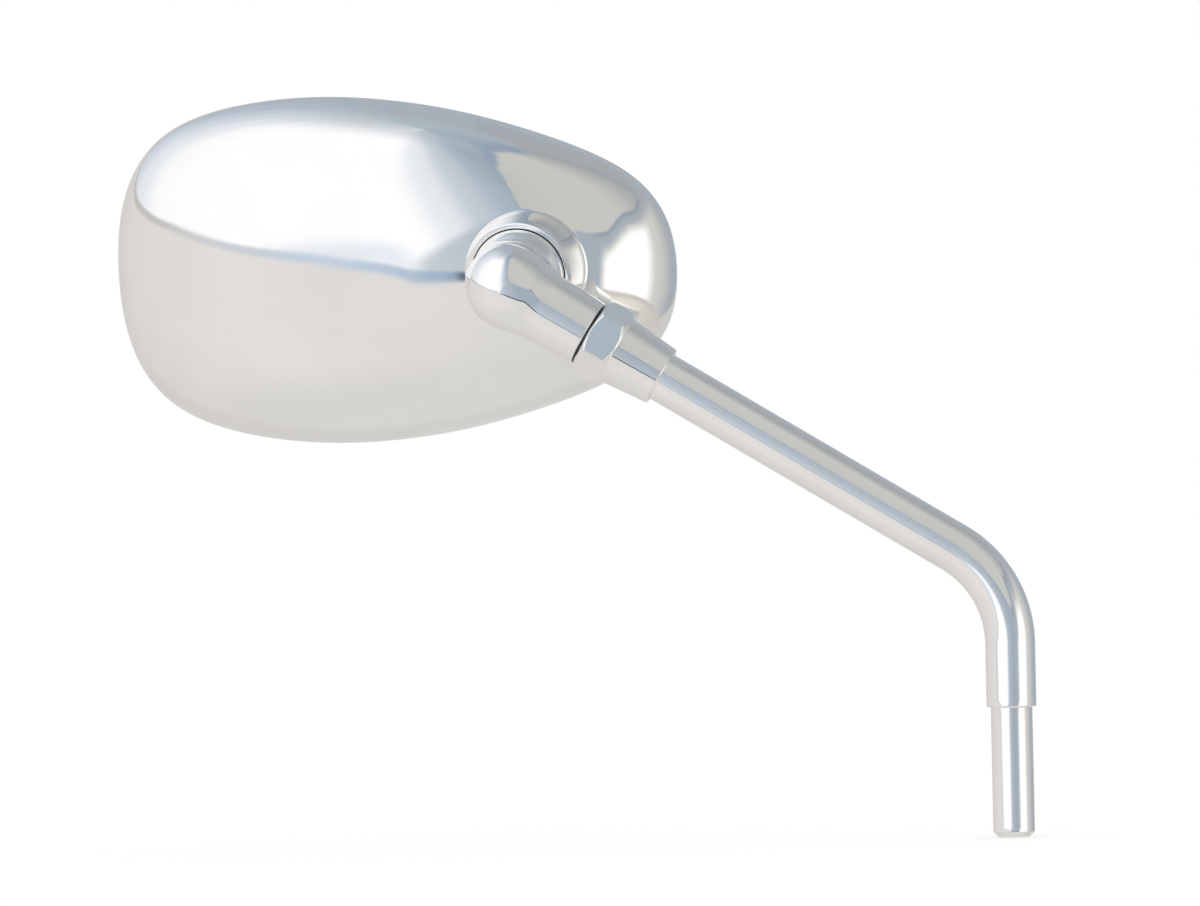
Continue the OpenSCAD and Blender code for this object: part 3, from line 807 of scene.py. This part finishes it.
# What the chrome mirrors is a room far away, drawn by direction alone. Azimuth is 0 towards the camera and
# grows to its right. A curve is pairs of azimuth and height in degrees, colours are pairs of azimuth and a
# colour as it shows on screen, and two numbers are where a soft border starts and ends.
skyLook = {
    "middle": [(-180, "a6afb8"), (-161, "b2bcc6"), (-147, "c2cad4"), (-133, "ced5de"), (-105, "e4e7ec"),
               (-80, "fbfbfb"), (-66, "ffffff"), (-21, "ffffff"), (-15, "e6eaee"), (-8, "c2cbd3"),
               (-1, "a9b6c2"), (4, "9dabb8"), (30, "a6b0b8"), (90, "a3a9ae"), (180, "a6afb8")],
    "top": [(-180, "acb8c0"), (-120, "bec7cd"), (-75, "c8cdd2"), (-35, "d2d6da"), (-5, "b6bfc7"),
            (20, "a5b1bc"), (90, "a2aeb8"), (180, "acb8c0")],
    "topFrom": (64, 86)}

# grey-blue low down on the left, under a line that slants up to the right, and a paler part beside it
lowBlue = {"left": (-25, -21), "right": (0, 12), "ceiling": (3, 15), "slantStart": -7.3,
           "slantRise": 1.55, "overSlant": (5, 10), "colour": "abb5bf", "strength": 0.75}
lowPale = {"left": (-43, -36), "right": (-25, -21), "ceiling": (-14, -7), "colour": "c0cddf",
           "strength": 0.4}

# a tall cream panel on the right, outlined in blue, with a lit window under it
panelLook = {
    "top": [(-180, -60), (0.5, -60), (2, 23), (3.5, 39), (8, 58), (16.5, 68.6), (28.5, 76), (50, 79),
            (115, 78), (157, 72), (165, 60), (180, 30)],
    "low": [(-180, 0), (0, 10), (24, 7), (33, 9), (44, 21), (52, 27), (68, 30.6), (87, 38), (110, 44),
            (180, 44)],
    "colour": [(0, "c0c1bd"), (20, "c5c5c0"), (45, "c6c5c1"), (60, "bcbcb8"), (77, "aeb1b0"),
               (100, "a2a5a7"), (130, "a6a8a9"), (165, "a3a9b0"), (180, "a6afb8")],
    "left": (0, 3), "underTop": (-2.5, 0), "overLow": (0, 3)}
outlineLook = {"inside": (-3, 0), "outside": (1, 7), "left": (0, 8), "right": (90, 130), "colour": "8f9fb0",
               "strength": 0.85}
sillLook = {"below": (-4, 0), "above": (0, 2.5), "left": (22, 30), "right": (88, 100), "colour": "929ca4",
            "strength": 0.8}
windowLook = {"left": (26, 35), "right": (80, 130), "underLow": (-16, -4), "colour": "d2d1cb",
              "strength": 0.9}
glowLook = {"left": (26, 33), "right": (62, 84), "underLow": (-22, -8), "light": (1.15, 1.13, 1.1)}

# the pale table that the mirror lies on, with a thin line along its far edge
tableLook = {
    "edge": [(-180, 24), (-150, 21), (-132, 16.7), (-120, 13.3), (-90, 5.5), (-69, -0.6), (-47, -9.4),
             (-32, -15), (-24, -20), (-16, -19.5), (-13.7, -21), (0, -23.5), (60, -26), (110, -29),
             (150, -5), (180, 24)],
    "colour": [(-180, "cdcbc7"), (-150, "d0cdc9"), (-105, "d9d6d3"), (-77, "dedbd7"), (-50, "e2dfdb"),
               (-30, "dfdcd8"), (0, "d8d6d2"), (45, "e4dfd6"), (90, "cbc8c2"), (140, "cac8c4"),
               (180, "cfcecb")],
    "near": "d6d4cf", "nearUnder": (-70, -40), "edgeSoft": (-0.8, 0.8)}
lineLook = {
    "below": (-2.2, -0.6), "above": (0.5, 2.2),
    "colour": [(-180, "b8b6b4"), (-90, "c2bfbc"), (-50, "cccfd2"), (-30, "c2d0e0"), (-19, "9fb1c4"),
               (-15.8, "46525f"), (-13.5, "2c343e"), (26, "38404c"), (34, "c8c4bc"), (180, "c4c2be")]}


def roomColour(w):
    way = w.node("ShaderNodeTexCoord", None, None, "Object")

    def along(direction):
        return w.node("ShaderNodeVectorMath", {"operation": "DOT_PRODUCT"}, {0: way, 1: tuple(direction)}, 1)

    az = w.math("ARCTAN2", along(toRight), along(toCamera)) * degrees(1)
    el = w.math("ARCSINE", along((0, 0, 1))) * degrees(1)
    turn = (az + 180) / 360

    def curve(pairs):        # a height over azimuth
        stops = [((a + 180) / 360, ((h + 90) / 180,) * 3) for a, h in pairs]
        return turn.ramp(stops) * 180 - 90

    def colours(pairs):
        return turn.ramp([((a + 180) / 360, shown(code)) for a, code in pairs], "EASE")

    def across(look):        # between the left and right borders of a thing in the room
        return az.within(look["left"], look["right"])

    sky = el.step(*skyLook["topFrom"]).tint(colours(skyLook["middle"]), colours(skyLook["top"]))
    overSlant = el - (az - lowBlue["slantStart"]) * lowBlue["slantRise"]
    blue = across(lowBlue) * (1 - overSlant.step(*lowBlue["overSlant"])) * (1 - el.step(*lowBlue["ceiling"]))
    pale = across(lowPale) * (1 - el.step(*lowPale["ceiling"]))
    for mask, look in ((blue, lowBlue), (pale, lowPale)):
        sky = (mask * look["strength"]).tint(sky, shown(look["colour"]))

    top, low = el - curve(panelLook["top"]), el - curve(panelLook["low"])
    outline = top.within(outlineLook["inside"], outlineLook["outside"]) * across(outlineLook)
    sky = (outline * outlineLook["strength"]).tint(sky, shown(outlineLook["colour"]))
    panel = (1 - top.step(*panelLook["underTop"])) * low.step(*panelLook["overLow"])
    sky = (panel * az.step(*panelLook["left"])).tint(sky, colours(panelLook["colour"]))
    sill = low.within(sillLook["below"], sillLook["above"]) * across(sillLook)
    window = across(windowLook) * (1 - low.step(*windowLook["underLow"]))
    for mask, look in ((sill, sillLook), (window, windowLook)):
        sky = (mask * look["strength"]).tint(sky, shown(look["colour"]))
    sky = (across(glowLook) * (1 - low.step(*glowLook["underLow"]))).tint(sky, glowLook["light"])

    edge = el - curve(tableLook["edge"])
    nearTable = 1 - el.step(*tableLook["nearUnder"])
    table = nearTable.tint(colours(tableLook["colour"]), shown(tableLook["near"]))
    sky = (1 - edge.step(*tableLook["edgeSoft"])).tint(sky, table)
    return edge.within(lineLook["below"], lineLook["above"]).tint(sky, colours(lineLook["colour"]))


# the chrome keeps about seven eighths of the light, and the room is lit so much more for it
studio = {"chromeKeeps": 0.875, "fill": 0.95, "floorZ": -31.2, "floorSize": 8.0,
          "floorColour": (0.5, 0.5, 0.5, 1), "floorGlow": 0.54}


def makeWorld():        # white to the camera, the room to mirrors, plain soft light to all else
    world = bpy.data.worlds.new("studio")
    bpy.context.scene.world = world
    world.use_nodes = True
    world.node_tree.nodes.clear()
    w = Wire(world.node_tree)
    light = w.node("ShaderNodeLightPath").socket.node
    glossy, through, toCameraRay = (Wire(w.tree, light.outputs[f"Is {ray} Ray"])
                                    for ray in ("Glossy", "Transmission", "Camera"))

    def lit(colour, strength):
        return w.node("ShaderNodeBackground", None, {"Color": colour, "Strength": strength})

    room = lit(roomColour(w), 1 / studio["chromeKeeps"])
    plain, white = lit((1, 1, 1, 1), studio["fill"]), lit((1, 1, 1, 1), 1.0)
    seen = w.node("ShaderNodeMixShader", None, {0: w.math("MAXIMUM", glossy, through), 1: plain, 2: room})
    seen = w.node("ShaderNodeMixShader", None, {0: toCameraRay, 1: seen, 2: white})
    w.node("ShaderNodeOutputWorld", None, {0: seen})


def makeFloor():        # pale, keeps the shadow, and is clear to mirrors and from below
    pickOnly(None)
    bpy.ops.mesh.primitive_plane_add(size=studio["floorSize"], location=(0, 0, studio["floorZ"] * mm))
    floor = named("floor")
    made, f = newMaterial("floorWhite")
    path = f.node("ShaderNodeLightPath").socket.node
    back = f.node("ShaderNodeNewGeometry", None, None, "Backfacing")
    hidden = back.math("MAXIMUM", back, Wire(f.tree, path.outputs["Is Glossy Ray"]), clamp=True)
    cover = f.node("ShaderNodeBsdfDiffuse", None, {"Color": studio["floorColour"]})
    glow = f.node("ShaderNodeEmission", None, {"Color": (1, 1, 1, 1), "Strength": studio["floorGlow"]})
    solid = f.node("ShaderNodeAddShader", None, {0: cover, 1: glow})
    clear = f.node("ShaderNodeBsdfTransparent")
    shader = f.node("ShaderNodeMixShader", None, {0: hidden, 1: solid, 2: clear})
    f.node("ShaderNodeOutputMaterial", None, {0: shader})
    dress(floor, made)


makeWorld()
makeFloor()
bpy.context.scene.view_settings.view_transform = "Standard"
print("studio lit")
